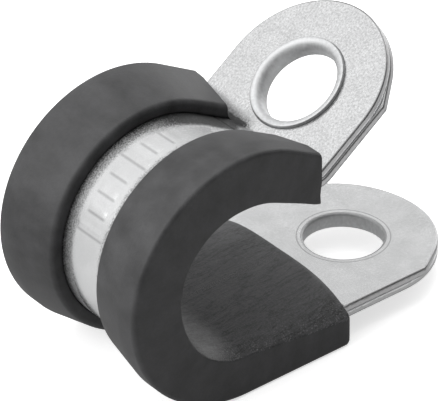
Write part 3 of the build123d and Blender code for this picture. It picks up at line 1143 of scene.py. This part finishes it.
def rubber_material(liner):
    """Matte extruded rubber: soft clouds outside, painted light that makes the inner face paler, drawn lines
    and scratches on it, and pale specks near its edges.
    """
    nodes = new_finish("matte_liner_rubber")
    place = nodes.place()
    route = nodes.route()
    along, _, _ = nodes.split(route)
    _, side, _ = nodes.split(place)
    inside = nodes.node("ShaderNodeAttribute", attribute_name="pipe_contact").outputs["Fac"]
    clouds = nodes.noise(nodes.stretched(route, (0.75, 0.3, 0.3)), detail=4.0, roughness=0.55)
    grain = nodes.noise(place, scale=5.0, detail=4.0, roughness=0.65)
    drawn = nodes.stretched(route, (0.45, 3.2, 1.0))
    lines = nodes.noise(drawn, detail=5.0, roughness=0.65, distortion=1.2)
    calm = nodes.ranged(inside, (0.0, 1.0), (0.45, 0.08))
    cloudy = nodes.plus(nodes.times(nodes.ranged(clouds, NOISE_SPAN, (-1.0, 1.0)), calm), 1.0)
    fine = nodes.ranged(grain, NOISE_SPAN, (0.92, 1.08))
    lift = painted_light_and_scratches(nodes, along, side, route, lines, grain, liner)
    paler = nodes.times(cloudy, fine, nodes.plus(nodes.times(lift, inside), 1.0))
    specks = nodes.noise(place, scale=8.0, roughness=0.7)
    clumps = nodes.ranged(clouds, (0.4, 0.6), (0.35, 1.0))
    near_edge = nodes.ranged(nodes.size(side), (6.4, 8.1), (0.12, 1.0))
    dusty = nodes.times(nodes.ranged(specks, (0.56, 0.64), (0.0, 0.8)), near_edge, clumps, inside)
    mixed = {0: dusty, 6: nodes.tinted(liner.rubber, paler), 7: (*liner.dust, 1.0)}
    tone = nodes.node("ShaderNodeMix", mixed, data_type="RGBA").outputs[2]
    rough = nodes.ranged(clouds, NOISE_SPAN, (0.5, 0.62))
    normal = nodes.bump(0.4, RUBBER_RELIEF, nodes.plus(nodes.times(lines, inside), grain))
    return nodes.shaded(tone, rough, normal, MATTE)


# Studio

WHITE = (1.0, 1.0, 1.0, 1.0)
SEEN_FLOOR = (0.8, 0.8, 0.8, 1.0)
FLOOR_HALF = 1.5

# Where the sky is brightest, and from which cosine of the angle to it the sky brightens.
SKY_BRIGHTEST = Vector((-0.30, 0.55, 0.78)).normalized()
SKY_SPAN = (-0.35, 1.0)

SOFTBOX_SIZE = 0.32
SOFTBOXES = {"side": (-0.40, 0.08, 0.28), "top": (0.0, 0.06, 0.50), "right": (0.45, 0.15, 0.14)}
SOFTBOX_AIM = Vector((0.0, 0.0, 0.01))

SENSOR_WIDTH = 36.0
NEAR_LIMIT = 0.01
FAR_LIMIT = 10.0


def floor_material(stage):
    """Pale floor that shows white to the camera, light grey to metal, and keeps a soft shadow."""
    nodes = new_finish("pale_floor")
    nodes.tree.nodes.remove(nodes.tree.nodes["Principled BSDF"])
    rays = nodes.node("ShaderNodeLightPath").outputs

    def glowing(base, strength):
        glow = nodes.node("ShaderNodeEmission", {"Color": WHITE, "Strength": strength})
        return nodes.node("ShaderNodeAddShader", {0: base, 1: glow.outputs[0]}).outputs[0]

    def chosen_by(ray, other, wanted):
        return nodes.node("ShaderNodeMixShader", {0: rays[ray], 1: other, 2: wanted}).outputs[0]

    plain = nodes.node("ShaderNodeBsdfDiffuse", {"Color": (*stage.floor, 1.0)}).outputs[0]
    lit = nodes.node("ShaderNodeBsdfDiffuse", {"Color": SEEN_FLOOR}).outputs[0]
    in_metal = chosen_by("Is Glossy Ray", plain, glowing(plain, stage.floor_mirrored))
    surface = chosen_by("Is Camera Ray", in_metal, glowing(lit, stage.floor_white))
    nodes.feed(nodes.tree.nodes["Material Output"].inputs["Surface"], surface)
    return nodes.owner


def build_floor(stage):
    """Wide plain floor under the clip."""
    corners = [(-FLOOR_HALF, -FLOOR_HALF, 0), (FLOOR_HALF, -FLOOR_HALF, 0)]
    corners += [(FLOOR_HALF, FLOOR_HALF, 0), (-FLOOR_HALF, FLOOR_HALF, 0)]
    mesh_data = bpy.data.meshes.new("studio_floor")
    mesh_data.from_pydata(corners, [], [(0, 1, 2, 3)])
    floor = bpy.data.objects.new("studio_floor", mesh_data)
    bpy.context.scene.collection.objects.link(floor)
    mesh_data.materials.append(floor_material(stage))


def build_sky(stage):
    """Soft sky, bright above and behind the clip and dim in front of it."""
    nodes = Finish(bpy.data.worlds.new("studio_sky"))
    bpy.context.scene.world = nodes.owner
    direction = nodes.node("ShaderNodeTexCoord").outputs["Generated"]
    facing = nodes.node("ShaderNodeVectorMath", {0: direction, 1: SKY_BRIGHTEST}, operation="DOT_PRODUCT")
    level = nodes.ranged(
        facing.outputs["Value"], SKY_SPAN, (stage.front_level, stage.back_level),
        interpolation_type="SMOOTHSTEP",
    )
    background = nodes.tree.nodes["Background"]
    nodes.feed(background.inputs["Strength"], level)
    nodes.feed(background.inputs["Color"], WHITE)


def build_light(name, power, place):
    """One large square softbox that faces the clip."""
    lamp = bpy.data.lights.new(name, "AREA")
    lamp.size = SOFTBOX_SIZE
    lamp.energy = power
    box = bpy.data.objects.new(name, lamp)
    bpy.context.scene.collection.objects.link(box)
    box.location = place
    box.rotation_mode = "QUATERNION"
    box.rotation_quaternion = (SOFTBOX_AIM - box.location).to_track_quat("-Z", "Y")


def build_camera(stage):
    """Camera at the photograph's viewing angle."""
    azimuth = stage.camera_azimuth
    tilt = stage.camera_elevation
    roll = stage.camera_roll
    level = Vector((math.sin(azimuth), -math.cos(azimuth), 0.0))
    back = level * math.cos(tilt) + Vector((0.0, 0.0, math.sin(tilt)))
    right = Vector((math.cos(azimuth), math.sin(azimuth), 0.0))
    up = back.cross(right)
    rolled_right = right * math.cos(roll) + up * math.sin(roll)
    rolled_up = up * math.cos(roll) - right * math.sin(roll)
    place = Vector((stage.aim_x, 0.0, stage.aim_z)) + back * stage.camera_distance
    place += rolled_right * stage.slide_right + rolled_up * stage.slide_up
    lens = bpy.data.cameras.new("photo_camera")
    lens.sensor_width = SENSOR_WIDTH
    lens.lens = stage.photo_focal / PHOTO_WIDTH * SENSOR_WIDTH
    lens.clip_start = NEAR_LIMIT
    lens.clip_end = FAR_LIMIT
    camera = bpy.data.objects.new("photo_camera", lens)
    bpy.context.scene.collection.objects.link(camera)
    turn = Matrix((rolled_right, rolled_up, back)).transposed().to_4x4()
    camera.matrix_world = Matrix.Translation(place) @ turn
    bpy.context.scene.camera = camera


# Operators, panel and registration


class CLIP_OT_liner(bpy.types.Operator):
    """Build the rubber liner"""

    bl_idname = "clip.liner"
    bl_label = "Rubber Liner"

    def execute(self, context):
        build_liner()
        return {"FINISHED"}


class CLIP_OT_band(bpy.types.Operator):
    """Build the steel band with its two ears"""

    bl_idname = "clip.band"
    bl_label = "Steel Band"

    def execute(self, context):
        build_band()
        return {"FINISHED"}


class CLIP_OT_plates(bpy.types.Operator):
    """Build the two reinforcing plates with their drawn collars"""

    bl_idname = "clip.plates"
    bl_label = "Reinforcing Plates"

    def execute(self, context):
        build_plates()
        return {"FINISHED"}


class CLIP_OT_stage(bpy.types.Operator):
    """Build the floor, the light and the camera"""

    bl_idname = "clip.stage"
    bl_label = "Studio"

    def execute(self, context):
        stage = chosen("stage")
        build_floor(stage)
        build_sky(stage)
        for side, place in SOFTBOXES.items():
            build_light(side + "_softbox", getattr(stage, side + "_power"), place)
        build_camera(stage)
        context.scene.view_settings.view_transform = "Standard"
        return {"FINISHED"}


class CLIP_PT_panel(bpy.types.Panel):
    """Panel that lists the pieces and the studio"""

    bl_idname = "CLIP_PT_panel"
    bl_label = "P Clip"
    bl_space_type = "VIEW_3D"
    bl_region_type = "UI"
    bl_category = "P Clip"

    def draw(self, context):
        for operator in OPERATORS:
            self.layout.operator(operator.bl_idname)


GROUPS = {"profile": ClipProfile, "liner": ClipLiner, "steel": ClipSteel, "stage": ClipStage}
OPERATORS = (CLIP_OT_liner, CLIP_OT_band, CLIP_OT_plates, CLIP_OT_stage)


def register():
    """Registers the classes and hangs the settings on the scene."""
    for group in (*GROUPS.values(), *OPERATORS, CLIP_PT_panel):
        bpy.utils.register_class(group)
    for name, group in GROUPS.items():
        setattr(bpy.types.Scene, "clip_" + name, bpy.props.PointerProperty(type=group))


def unregister():
    """Takes the settings off the scene and unregisters the classes."""
    for name in GROUPS:
        delattr(bpy.types.Scene, "clip_" + name)
    for group in (CLIP_PT_panel, *reversed(OPERATORS), *reversed(tuple(GROUPS.values()))):
        bpy.utils.unregister_class(group)


def main():
    """Builds the whole scene."""
    register()
    bpy.ops.clip.liner()
    bpy.ops.clip.band()
    bpy.ops.clip.plates()
    bpy.ops.clip.stage()


if __name__ == "__main__":
    main()
